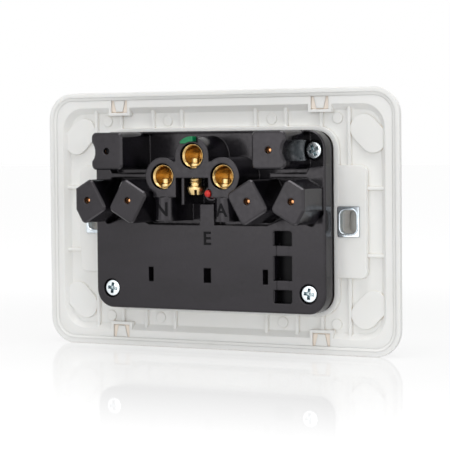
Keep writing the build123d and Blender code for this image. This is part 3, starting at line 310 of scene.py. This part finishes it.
class Surface:
    """Principled material with object-space noise for its colour, roughness and grain."""

    def __init__(self, name, **values):
        """Plain shader, with constants on its own sockets."""
        self.material = bpy.data.materials.new(name)
        self.material.use_nodes = True
        self.tree = self.material.node_tree
        self.link = self.tree.links.new
        self.shader = self.tree.nodes["Principled BSDF"]
        set_inputs(self.shader, values)
        self.coordinates = add_node(self.tree, "TexCoord")

    def noise(self, size_mm, detail=3.0, stretch=(1, 1, 1)):
        """Noise whose cells are about size_mm across."""
        mapping = add_node(self.tree, "Mapping", Scale=stretch)
        texture = add_node(self.tree, "TexNoise", Scale=1.0 / (size_mm * MM), Detail=detail)
        self.link(self.coordinates.outputs["Object"], mapping.inputs["Vector"])
        self.link(mapping.outputs["Vector"], texture.inputs["Vector"])
        return texture.outputs["Fac"]

    def tone(self, noise, dark, light):
        """Colour that follows a noise from dark to light."""
        node = add_node(self.tree, "ValToRGB")
        for element, position, colour in zip(node.color_ramp.elements, NOISE_SPAN, (dark, light)):
            element.position = position
            element.color = colour
        self.link(noise, node.inputs["Fac"])
        return node.outputs["Color"]

    def spread(self, noise, low, high):
        """Noise stretched to run from low to high."""
        return map_range(self.tree, noise, NOISE_SPAN, (low, high))

    def paint_gap_shade(self, colour, painted_shade_colour, reach_mm):
        """Colour that turns to a given darker colour where ambient occlusion finds the surface closed in:
        painted shade.
        """
        occlusion = add_node(self.tree, "AmbientOcclusion", Distance=reach_mm * MM)
        occlusion.samples = GAP_SHADE_SAMPLES
        mix = add_node(self.tree, "Mix")
        mix.data_type = "RGBA"
        mix.inputs["A"].default_value = painted_shade_colour
        self.link(self.spread(occlusion.outputs["AO"], 0.0, 1.0), mix.inputs["Factor"])
        self.link(colour, mix.inputs["B"])
        return mix.outputs["Result"]

    def finish(self, colour, roughness, grain_mm, grain_depth_mm, edge_mm, stretch=(1, 1, 1)):
        """Join colour, roughness and a fine grain over softened edges to the shader."""
        bump = add_node(self.tree, "Bump", Distance=grain_depth_mm * MM)
        bevel = add_node(self.tree, "Bevel", Radius=edge_mm * MM)
        bevel.samples = EDGE_SAMPLES
        self.link(self.noise(grain_mm, detail=4.0, stretch=stretch), bump.inputs["Height"])
        self.link(bevel.outputs["Normal"], bump.inputs["Normal"])
        self.link(bump.outputs["Normal"], self.shader.inputs["Normal"])
        self.link(colour, self.shader.inputs["Base Color"])
        self.link(roughness, self.shader.inputs["Roughness"])
        return self.material


def white_plastic(name, dark, light, translucence=0.0):
    """Warm white moulded plastic with tan shade painted into its gaps."""
    surface = Surface(
        name,
        Specular_IOR_Level=0.35,
        Subsurface_Weight=translucence,
        Subsurface_Scale=1.6 * MM,
        Subsurface_Radius=(1.0, 0.95, 0.9),
    )
    tone = surface.tone(surface.noise(14.0), dark, light)
    # Tan painted shade in creases and gaps, from ambient occlusion
    tone = surface.paint_gap_shade(tone, srgb(230, 219, 206), reach_mm=0.5)
    roughness = surface.spread(surface.noise(3.0), 0.34, 0.46)
    return surface.finish(tone, roughness, grain_mm=0.5, grain_depth_mm=0.008, edge_mm=0.4)


def black_plastic():
    """Charcoal plastic with the fine grain of an eroded mould."""
    surface = Surface("black_plastic", Specular_IOR_Level=0.45, Specular_Tint=(1.0, 0.95, 1.0, 1.0))
    clouds = surface.noise(6.0, detail=5.0, stretch=(0.3, 1.0, 1.0))
    tone = surface.tone(clouds, srgb(4, 4, 6), srgb(24, 22, 27))
    roughness = surface.spread(surface.noise(1.2), 0.14, 0.26)
    return surface.finish(tone, roughness, grain_mm=0.5, grain_depth_mm=0.005, edge_mm=0.55)


def dark_shade_plastic():
    """Darker, duller copy of the housing's plastic as painted shade, for raised letters in place of the
    shade of recessed ones and for sheets that darken openings.
    """
    surface = Surface("dark_shade_plastic", Specular_IOR_Level=0.1)
    tone = surface.tone(surface.noise(2.0), srgb(12, 12, 14), srgb(18, 17, 20))
    roughness = surface.spread(surface.noise(0.6), 0.3, 0.4)
    return surface.finish(tone, roughness, grain_mm=0.2, grain_depth_mm=0.01, edge_mm=0.06)


def gloss_plastic(name, dark, light):
    """Glossy coloured plastic of a marker."""
    surface = Surface(name, Specular_IOR_Level=0.3)
    tone = surface.tone(surface.noise(1.5), dark, light)
    roughness = surface.spread(surface.noise(0.8), 0.2, 0.3)
    return surface.finish(tone, roughness, grain_mm=0.4, grain_depth_mm=0.006, edge_mm=0.15)


def metal(name, dark, light, rough, grain_mm, grain_depth_mm, stretch=(1, 1, 1), gaps=None):
    """Bare metal with cloudy colour, drawn or turned grain and, if asked, shade painted into its gaps."""
    surface = Surface(name, Metallic=1.0)
    tone = surface.tone(surface.noise(1.6, detail=5.0), dark, light)
    # Painted shade: the colour darkens where ambient occlusion finds the surface closed in
    if gaps:
        tone = surface.paint_gap_shade(tone, *gaps)
    roughness = surface.spread(surface.noise(0.7), *rough)
    return surface.finish(tone, roughness, grain_mm, grain_depth_mm, edge_mm=0.1, stretch=stretch)


MATERIALS = {
    "white_plastic": white_plastic(
        "white_plastic", srgb(239, 239, 236), srgb(242, 242, 240), translucence=0.4,
    ),
    "black_plastic": black_plastic(),
    # Blue-grey painted shade along the insert's closed-in edges
    "insert_steel": metal(
        "insert_steel", srgb(200, 209, 216), srgb(220, 227, 232), rough=(0.12, 0.22),
        grain_mm=0.3, grain_depth_mm=0.006, gaps=(srgb(96, 112, 126), 0.9),
    ),
    # Blue-grey painted shade in the screws' cross recesses and other closed-in places
    "zinc_steel": metal(
        "zinc_steel", srgb(222, 231, 236), srgb(238, 244, 247), rough=(0.2, 0.3),
        grain_mm=0.25, grain_depth_mm=0.006, gaps=(srgb(100, 124, 130), 2.0),
    ),
    "brass": metal(
        "brass", srgb(198, 165, 106), srgb(218, 188, 130), rough=(0.16, 0.26),
        grain_mm=0.2, grain_depth_mm=0.006, stretch=(1, 6, 1),
    ),
    "copper": metal(
        "copper", srgb(214, 142, 92), srgb(238, 176, 124), rough=(0.2, 0.32),
        grain_mm=0.3, grain_depth_mm=0.008,
    ),
    "green_plastic": gloss_plastic("green_plastic", srgb(0, 114, 68), srgb(4, 130, 80)),
    "red_plastic": gloss_plastic("red_plastic", srgb(186, 32, 30), srgb(208, 46, 40)),
}
SEAM_PLASTIC = white_plastic("white_seam", srgb(239, 239, 236), srgb(242, 242, 240))
# Lighter copy of the white plastic for the slot sleeves, so their shaded inside reads light: painted light
LIGHTENED_SLEEVE_PLASTIC = white_plastic("white_sleeve_lightened", srgb(247, 243, 238), srgb(251, 248, 244))
# Tan-tinted white plastic: painted shade in the gaps beside the snap tongues
WEB_TAN_SHADE_PLASTIC = white_plastic("web_tan_shade", srgb(240, 228, 215), srgb(244, 233, 222))
# Darker, duller copy of the housing's plastic: painted shade for letters and openings
DARK_SHADE_PLASTIC = dark_shade_plastic()
# Rougher brass for the clamp screws; its colour is lighter than the tunnels' brass so the screws look more
# brightly lit: painted light
LIGHTENED_BRASS = metal(
    "lightened_brass", srgb(216, 186, 126), srgb(234, 208, 154), rough=(0.26, 0.38),
    grain_mm=0.2, grain_depth_mm=0.004,
)


def dress(obj, material):
    """Give an object one material in place of what it had."""
    obj.data.materials.clear()
    obj.data.materials.append(material)


for part in frame["record"]["subparts"]:
    dress(frame["nodes"][part["node"]], MATERIALS[part["material_slot"]])


# Meshes

def add_object(name, data):
    """New object in the scene."""
    obj = bpy.data.objects.new(name, data)
    bpy.context.scene.collection.objects.link(obj)
    return obj


def mesh_from(name, shape):
    """Mesh made from a bmesh, which is used up."""
    mesh = bpy.data.meshes.new(name)
    shape.to_mesh(mesh)
    shape.free()
    return mesh


def shape_from(obj):
    """New bmesh of an object as its modifiers or its text make it."""
    depsgraph = bpy.context.evaluated_depsgraph_get()
    mesh = bpy.data.meshes.new_from_object(obj.evaluated_get(depsgraph))
    shape = bmesh.new()
    shape.from_mesh(mesh)
    bpy.data.meshes.remove(mesh)
    return shape


def merge(shape, other):
    """Add another bmesh, which is used up, to a shape."""
    mesh = mesh_from("merged", other)
    shape.from_mesh(mesh)
    bpy.data.meshes.remove(mesh)


def shift(shape, u, v, w):
    """Move a whole shape."""
    bmesh.ops.translate(shape, verts=shape.verts, vec=(u, v, w))


def spin(shape, degrees):
    """Turn a whole shape about its own z."""
    bmesh.ops.rotate(shape, verts=shape.verts, matrix=Matrix.Rotation(radians(degrees), 3, "Z"))


def stand(shape, u, v, w):
    """Stand a shape upright in the view, with its origin at a point."""
    for vertex in shape.verts:
        vertex.co = UPRIGHT @ vertex.co + Vector((u, v, w))


def new_piece(name, shape, slot, material=None):
    """Turn a bmesh in millimetres of the wiring-side view into a piece that rides on the outlet."""
    for vertex in shape.verts:
        vertex.co = place(*vertex.co)
    bmesh.ops.recalc_face_normals(shape, faces=shape.faces)
    piece = add_object(name, mesh_from(name, shape))
    piece.data.set_sharp_from_angle(angle=radians(SHARP_ANGLE))
    dress(piece, material or MATERIALS[slot])
    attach(piece, "outlet")
    return piece


def turned(shape, profile, segments=FINE_SEGMENTS):
    """Revolve (radius, height) points about local z; a radius may depend on the turn."""
    rings = []
    for radius, height in profile:
        ring = []
        for step in range(segments):
            turn = step / segments
            r = radius(turn) if callable(radius) else radius
            ring.append(shape.verts.new((r * cos(2 * pi * turn), r * sin(2 * pi * turn), height)))
        rings.append(ring)
    for lower, upper in zip(rings, rings[1:]):
        for step in range(segments):
            after = (step + 1) % segments
            shape.faces.new((lower[step], lower[after], upper[after], upper[step]))
    shape.faces.new(rings[0][::-1])
    shape.faces.new(rings[-1])


def thread_radius(turn, height, minor, pitch, depth):
    """Radius of a vee thread at a turn (0 to 1) and a height."""
    phase = (height / pitch - turn) % 1.0
    return minor + depth * (1.0 - abs(2.0 * phase - 1.0))


def threaded(start, end, minor, pitch, depth):
    """Profile of a threaded stretch between two heights, faded out at its ends."""
    steps = max(2, round(abs(end - start) / pitch * THREAD_STEPS))
    points = []
    for step in range(steps + 1):
        height = start + (end - start) * step / steps
        rise = depth * min(1.0, (height - start) / pitch, (end - height) / pitch)
        points.append((lambda turn, h=height, d=rise: thread_radius(turn, h, minor, pitch, d), height))
    return points


def arc(steps, degrees):
    """Cosine and sine at even steps of a lean, the upright start left out."""
    leans = [radians(degrees) * step / steps for step in range(1, steps + 1)]
    return [(cos(lean), sin(lean)) for lean in leans]


def cut(shape, cutter):
    """Subtract one closed bmesh from another and return the result."""
    objects = []
    for source in (shape, cutter):
        bmesh.ops.recalc_face_normals(source, faces=source.faces)
        objects.append(add_object("cut", mesh_from("cut", source)))
    body, tool = objects
    boolean = body.modifiers.new("cut", "BOOLEAN")
    boolean.operation = "DIFFERENCE"
    boolean.solver = "EXACT"
    boolean.object = tool
    result = shape_from(body)
    for obj in objects:
        bpy.data.objects.remove(obj)
    return result


def prism(shape, lower, upper):
    """Closed solid between two rings of points with the same count."""
    bottom = [shape.verts.new(point) for point in lower]
    top = [shape.verts.new(point) for point in upper]
    count = len(bottom)
    for step in range(count):
        after = (step + 1) % count
        shape.faces.new((bottom[step], bottom[after], top[after], top[step]))
    shape.faces.new(bottom[::-1])
    shape.faces.new(top)


def slab(shape, outline, foot, top):
    """Closed solid over an outline of (u, v) points."""
    prism(shape, [(*point, foot) for point in outline], [(*point, top) for point in outline])


def cross_outline(reach, half, height):
    """Twelve corners of a cross."""
    corners = []
    for quarter in range(4):
        turn = Matrix.Rotation(quarter * pi / 2, 3, "Z")
        for point in ((reach, -half), (reach, half), (half, half)):
            corners.append(turn @ Vector((*point, height)))
    return corners


def rounded_loop(shape, width, height, corner, section, middle):
    """Closed moulding along a rounded rectangle; the section holds (outward, upward) points."""
    rings = []
    for quarter, (side, end) in enumerate(((1, 1), (-1, 1), (-1, -1), (1, -1))):
        for step in range(CORNER_STEPS):
            turn = (quarter + step / (CORNER_STEPS - 1)) * pi / 2
            ring = []
            for out, rise in section:
                x = side * (width / 2 - corner) + (corner + out) * cos(turn)
                y = end * (height / 2 - corner) + (corner + out) * sin(turn)
                ring.append(shape.verts.new(Vector((x, y, rise)) + Vector(middle)))
            rings.append(ring)
    count = len(section)
    for here, there in zip(rings, rings[1:] + rings[:1]):
        for step in range(count):
            after = (step + 1) % count
            shape.faces.new((here[step], here[after], there[after], there[step]))


# Pieces

def pan_head_screw():
    """Pan head with a cross recess and a threaded shank; the seat is at height 0."""
    rim = SCREW_HEAD_R
    top = SCREW_HEAD_H
    profile = [SCREW_UNDERSIDE, (rim - SCREW_EDGE, 0.0), (rim, SCREW_EDGE), (rim, SCREW_RIM_H)]
    for across, up in arc(SCREW_CROWN_STEPS, SCREW_CROWN_LEAN):
        profile.append((rim - SCREW_CROWN_R * (1 - across), SCREW_RIM_H + SCREW_CROWN_H * up))
    profile += [(share * rim, top - depth) for share, depth in SCREW_TOP]
    head = bmesh.new()
    turned(head, profile)
    recess = bmesh.new()
    prism(recess, *(
        cross_outline(reach, half, top + height) for reach, half, height in (RECESS_FOOT, RECESS_MOUTH)
    ))
    head = cut(head, recess)
    centre = bmesh.new()
    turned(centre, [(radius, top + height) for radius, height in RECESS_CONE], COARSE_SEGMENTS)
    head = cut(head, centre)
    minor = SCREW_R - SCREW_THREAD_DEPTH
    thread_start = SCREW_POINT - SCREW_LENGTH
    profile = [(SCREW_TIP_R, -SCREW_LENGTH), (minor, thread_start)]
    profile += threaded(thread_start + SCREW_RUNOUT, -SCREW_NECK, minor, SCREW_PITCH, SCREW_THREAD_DEPTH)
    profile += [(minor, SCREW_RUNOUT - SCREW_NECK), (minor, SCREW_UNDERSIDE[1])]
    shank = bmesh.new()
    turned(shank, profile)
    merge(head, shank)
    return head


def housing_screws():
    """The four cross-recess screws of the housing as one piece."""
    group = bmesh.new()
    for u, v, seat, turn in SCREWS:
        screw = pan_head_screw()
        spin(screw, turn)
        shift(screw, u, v, seat)
        merge(group, screw)
    piece = new_piece("phillips_screws", group, "zinc_steel")
    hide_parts("housing_screws")


def clamp_screw(name, u, v):
    """Brass clamp screw: threaded, with a tapered cross-slotted head at its lower end."""
    minor = CLAMP_R - CLAMP_THREAD_DEPTH
    head_top = -CLAMP_LENGTH
    head_end = head_top - CLAMP_HEAD_H
    head = bmesh.new()
    turned(head, [(CLAMP_HEAD_R - inset, head_top - depth) for inset, depth in CLAMP_HEAD])
    slots = bmesh.new()
    prism(slots, *(
        cross_outline(2 * CLAMP_HEAD_R, CLAMP_SLOT, height)
        for height in (head_end - CUT_PAST, head_end + CLAMP_SLOT_DEPTH)
    ))
    head = cut(head, slots)
    low = head_top + CLAMP_EASE
    high = CLAMP_BITE - CLAMP_EASE
    profile = [(minor, head_top + CLAMP_STEP), (minor, low)]
    profile += threaded(low + CLAMP_STEP, high - CLAMP_STEP, minor, CLAMP_PITCH, CLAMP_THREAD_DEPTH)
    profile += [
        (minor, high),
        (minor - CLAMP_EASE, CLAMP_BITE),
        (CLAMP_POINT_R, CLAMP_BITE + CLAMP_STEP),
        (CLAMP_POINT_R, CLAMP_POINT - CLAMP_POINT_EASE),
        (CLAMP_POINT_R - CLAMP_POINT_EASE, CLAMP_POINT),
    ]
    shank = bmesh.new()
    turned(shank, profile)
    merge(head, shank)
    spin(head, CLAMP_TURN)
    stand(head, u, v, CLAMP_W)
    # The screws take the lighter brass copy: painted light
    piece = new_piece(f"clamp_screw_{name}", head, "brass", LIGHTENED_BRASS)
    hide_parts(f"terminal_screw_{name}")


def letter(text, u, v, height, barrel):
    """Raised letter, wrapped round a barrel or flat on the panel."""
    curve = bpy.data.curves.new(f"letter_{text}", "FONT")
    curve.body = text
    curve.size = height / FONT_CAPITAL
    curve.align_x = "CENTER"
    curve.offset = LETTER_BOLD * height
    curve.extrude = (LETTER_RISE + LETTER_SINK) / 2
    source = add_object(f"letter_{text}", curve)
    shape = shape_from(source)
    bpy.data.objects.remove(source)
    bmesh.ops.remove_doubles(shape, verts=shape.verts, dist=SAME_POINT)
    low = min(vertex.co.y for vertex in shape.verts)
    high = max(vertex.co.y for vertex in shape.verts)
    for vertex in shape.verts:
        vertex.co.x *= height / (high - low)
        vertex.co.y = (vertex.co.y - low) * height / (high - low)
    for step in range(int(height / LETTER_SLICE) + 1):
        bmesh.ops.bisect_plane(
            shape,
            geom=shape.verts[:] + shape.edges[:] + shape.faces[:],
            plane_co=(step * LETTER_SLICE - height / 2, 0, 0),
            plane_no=(1, 0, 0),
        )
    lift = (LETTER_RISE - LETTER_SINK) / 2
    for vertex in shape.verts:
        x, y, z = vertex.co
        if barrel:
            turn = x / BARREL_R
            radius = BARREL_R + z + lift
            vertex.co = (u + radius * sin(turn), v + y - height / 2, BARREL_W + radius * cos(turn))
        else:
            vertex.co = (u + x, v + y - height / 2, PANEL_W + z + lift)
    # The darker plastic paints the shade that recessed letters would hold
    new_piece(f"letter_{text}", shape, "black_plastic", DARK_SHADE_PLASTIC)


def insert_rims(side, name):
    """Pressed rim round the wall-screw slot of an insert, and the white sleeve behind it, lighter than the
    other white plastic as painted light.
    """
    slot_loop = (SLOT_W, SLOT_LENGTH, SLOT_CORNER)
    middle = (side * SLOT_U, 0, INSERT_TOP)
    rim = bmesh.new()
    rounded_loop(rim, *slot_loop, RIM_SECTION, middle)
    new_piece(f"insert_rim_{name}", rim, "insert_steel")
    sleeve = bmesh.new()
    rounded_loop(sleeve, *slot_loop, SLEEVE_SECTION, middle)
    new_piece(f"insert_sleeve_{name}", sleeve, "white_plastic", LIGHTENED_SLEEVE_PLASTIC)


def tunnel(name, u, v):
    """Brass tunnel terminal with a chamfered mouth, tapped for its clamp screw."""
    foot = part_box(f"terminal_{name}")[0].y / MM
    floor_w = TUNNEL_W - TUNNEL_DEPTH
    cup = bmesh.new()
    turned(cup, [
        (TUNNEL_OUTER_R, foot),
        (TUNNEL_OUTER_R, TUNNEL_W - TUNNEL_EDGE),
        (TUNNEL_OUTER_R - TUNNEL_EDGE, TUNNEL_W),
        (TUNNEL_R + TUNNEL_CHAMFER, TUNNEL_W),
        (TUNNEL_R, TUNNEL_W - TUNNEL_CHAMFER_DEPTH),
        (TUNNEL_R, floor_w + TUNNEL_FLOOR_EDGE),
        (TUNNEL_R - TUNNEL_FLOOR_EDGE, floor_w),
    ])
    tap_r = CLAMP_R + TAP_CLEARANCE
    tap = bmesh.new()
    turned(tap, [(tap_r, -TAP_START), (tap_r, -2 * TUNNEL_OUTER_R)], MEDIUM_SEGMENTS)
    stand(tap, 0, 0, CLAMP_W)
    cup = cut(cup, tap)
    shift(cup, u, v, 0)
    piece = new_piece(f"tunnel_{name}", cup, "brass")
    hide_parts(f"terminal_{name}")


def cover_seam():
    """Soft inner corner where the base plate meets the cover."""
    shape = bmesh.new()
    rounded_loop(shape, BASE_W, BASE_H, BASE_CORNER, SEAM_SECTION, (0, 0, LEDGE_TOP))
    new_piece("cover_seam", shape, "white_plastic", SEAM_PLASTIC)


def port_outline(low, high):
    """Outline of an opening with chamfered corners."""
    outline = []
    for side, end, v in ((-1, -1, low), (1, -1, low), (1, 1, high), (-1, 1, high)):
        on_side = (PORT_U + side * PORT_HALF, v - end * PORT_CHAMFER)
        on_end = (PORT_U + side * (PORT_HALF - PORT_CHAMFER), v)
        outline += [on_side, on_end] if side == end else [on_end, on_side]
    return outline


def port_shade_sheets():
    """Dark sheets of painted shade in the openings and in the test hole that shows no copper."""
    shape = bmesh.new()
    for low, high in PORT_SPANS:
        slab(shape, port_outline(low, high), PORT_SHADE_FOOT, PORT_SHADE_TOP)
    bare = bmesh.new()
    turned(bare, BARE_PROFILE, COARSE_SEGMENTS)
    shift(bare, *BARE_TEST_HOLE, TEST_HOLE_FLOOR)
    merge(shape, bare)
    new_piece("port_shade_sheets", shape, "black_plastic", DARK_SHADE_PLASTIC)


def port_lips():
    """Leaning left walls of the openings, which catch the light."""
    shape = bmesh.new()
    edge = PORT_U - PORT_HALF
    root = edge - PORT_LIP_ROOT
    top = PANEL_W - PORT_LIP_BELOW
    foot = top - PORT_LIP_DEPTH
    for span in PORT_SPANS:
        prism(shape, *([(root, v, top), (edge + PORT_LIP, v, foot), (root, v, foot)] for v in span))
    new_piece("port_lips", shape, "black_plastic")


def tongue_webs():
    """Thin webs in the corners beside the snap tongues, tinted tan as painted shade."""
    shape = bmesh.new()
    for side in (-1, 1):
        for end in (-1, 1):
            for hand, outline in ((-1, WEB_CORNERS), (1, WEB_CORNERS), (1, WEB_STRIP)):
                corners = [(side * TONGUE_U + hand * along, end * v) for along, v in outline]
                slab(shape, corners, WEB_FOOT, WEB_TOP)
    new_piece("tongue_webs", shape, "white_plastic", WEB_TAN_SHADE_PLASTIC)


def red_pin():
    """Red pin with a rounded head beside the active terminal."""
    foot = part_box("active_marker")[0].y / MM
    shoulder = foot + PIN_FOOT_H
    profile = [
        (PIN_FOOT_R, foot),
        (PIN_FOOT_R, shoulder),
        (PIN_R, shoulder + PIN_SHOULDER),
        (PIN_R, PIN_TOP - PIN_DOME),
    ]
    for across, up in arc(PIN_DOME_STEPS, PIN_DOME_LEAN):
        profile.append((PIN_R * across, PIN_TOP - PIN_DOME * (1 - up)))
    shape = bmesh.new()
    turned(shape, profile, MEDIUM_SEGMENTS)
    shift(shape, PIN_U, PIN_V, 0)
    piece = new_piece("red_pin", shape, "red_plastic")
    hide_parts("active_marker")


def clip_ends():
    """Rounded folds of the pin clips, seen through the test holes of the pillars."""
    shape = bmesh.new()
    for u, v in TEST_HOLES:
        dome = bmesh.new()
        turned(dome, CLIP_PROFILE, COARSE_SEGMENTS)
        shift(dome, u, v, TEST_HOLE_FLOOR)
        merge(shape, dome)
    new_piece("clip_ends", shape, "copper")


housing_screws()
for terminal, middle_u, _, clamp_v in TERMINALS:
    clamp_screw(terminal, middle_u, clamp_v)
for entry in LETTERS:
    letter(*entry)
insert_rims(-1, "left")
insert_rims(1, "right")
for terminal, middle_u, tunnel_v, _ in TERMINALS:
    tunnel(terminal, middle_u, tunnel_v)
cover_seam()
port_shade_sheets()
port_lips()
tongue_webs()
red_pin()
clip_ends()


# Stage: pale floor under the cover's lower edge, white surroundings, lamps and camera

def bright_rays(tree):
    """1 for rays that see the surroundings directly, in a mirror or through glass."""
    path = add_node(tree, "LightPath")
    bright = path.outputs["Is Camera Ray"]
    for kind in ("Is Glossy Ray", "Is Transmission Ray"):
        either = add_node(tree, "Math")
        either.operation = "MAXIMUM"
        tree.links.new(bright, either.inputs[0])
        tree.links.new(path.outputs[kind], either.inputs[1])
        bright = either.outputs["Value"]
    return bright


def surroundings():
    """White where they are seen, softer where they light the object."""
    world = bpy.data.worlds.new("surroundings")
    world.use_nodes = True
    bpy.context.scene.world = world
    tree = world.node_tree
    background = tree.nodes["Background"]
    set_inputs(background, {"Color": (1, 1, 1, 1)})
    strength = map_range(tree, bright_rays(tree), (0.0, 1.0), (WORLD_LIGHT, SEEN_WHITE))
    tree.links.new(strength, background.inputs["Strength"])


def mix_shaders(tree, share, first, second):
    """Two shaders, from the first at a share of 0 to the second at 1."""
    node = add_node(tree, "MixShader")
    tree.links.new(share, node.inputs["Fac"])
    tree.links.new(first, node.inputs[1])
    tree.links.new(second, node.inputs[2])
    return node.outputs["Shader"]


def floor_material():
    """Pale surface that keeps the shadow and mirrors the object faintly near its foot."""
    material = bpy.data.materials.new("floor")
    material.use_nodes = True
    tree = material.node_tree
    tree.nodes.remove(tree.nodes["Principled BSDF"])
    link = tree.links.new
    point = add_node(tree, "TexCoord").outputs["Object"]
    distance = add_node(tree, "VectorMath")
    distance.operation = "LENGTH"
    link(point, distance.inputs[0])
    span = (FLOOR_NEAR * MM, FLOOR_FAR * MM)
    rise = map_range(tree, distance.outputs["Value"], span, (FLOOR_GLOW, SEEN_WHITE), "SMOOTHSTEP")
    glow = add_node(tree, "Emission")
    link(rise, glow.inputs["Strength"])
    soft = add_node(tree, "BsdfDiffuse", Color=(FLOOR_DIFFUSE, FLOOR_DIFFUSE, FLOOR_DIFFUSE, 1))
    seen = add_node(tree, "AddShader")
    link(glow.outputs["Emission"], seen.inputs[0])
    link(soft.outputs["BSDF"], seen.inputs[1])
    unseen = add_node(tree, "Emission", Strength=FLOOR_LIGHT)
    pale = mix_shaders(tree, bright_rays(tree), unseen.outputs["Emission"], seen.outputs["Shader"])
    split = add_node(tree, "SeparateXYZ")
    link(point, split.inputs["Vector"])
    fade = map_range(tree, split.outputs["Y"], (0.0, MIRROR_REACH * MM), (MIRROR_START, 0.0), "SMOOTHSTEP")
    mirror = add_node(tree, "BsdfGlossy", Roughness=MIRROR_ROUGHNESS)
    whole = mix_shaders(tree, fade, pale, mirror.outputs["BSDF"])
    link(whole, tree.nodes["Material Output"].inputs["Surface"])
    return material


def floor():
    """Wide floor at the level of the cover's lower edge."""
    half = FLOOR_HALF * MM
    shape = bmesh.new()
    for x, y in ((-half, -half), (half, -half), (half, half), (-half, half)):
        shape.verts.new((x, y, cad_box[0].z))
    shape.faces.new(shape.verts)
    obj = add_object("floor", mesh_from("floor", shape))
    dress(obj, floor_material())


def lamp(name, spot, aim, size, power):
    """Square soft box at a place of the wiring-side view, aimed at another."""
    data = bpy.data.lights.new(name, "AREA")
    data.shape = "SQUARE"
    data.size = size * MM
    data.energy = power
    obj = add_object(name, data)
    obj.location = place(*spot)
    direction = place(*aim) - obj.location
    obj.rotation_euler = direction.to_track_quat("-Z", "Y").to_euler()


def camera():
    """Camera at the photograph's viewing angle."""
    data = bpy.data.cameras.new("camera")
    data.sensor_width = SENSOR
    data.lens = FOCAL_PIXELS / IMAGE_PIXELS * SENSOR
    data.clip_start = CAMERA_CLIP * MM
    axes = Matrix.Rotation(radians(CAMERA_YAW), 3, "Y")
    axes = axes @ Matrix.Rotation(radians(CAMERA_PITCH), 3, "X")
    axes = axes @ Matrix.Rotation(radians(CAMERA_ROLL), 3, "Z")
    spot = Vector(CAMERA_AIM) + axes @ Vector((0, 0, CAMERA_DISTANCE))
    obj = add_object("camera", data)
    obj.matrix_world = Matrix.Translation(place(*spot)) @ (VIEW @ axes).to_4x4()
    bpy.context.scene.camera = obj


surroundings()
floor()
for entry in LAMPS:
    lamp(*entry)
camera()
bpy.context.scene.view_settings.view_transform = "Standard"
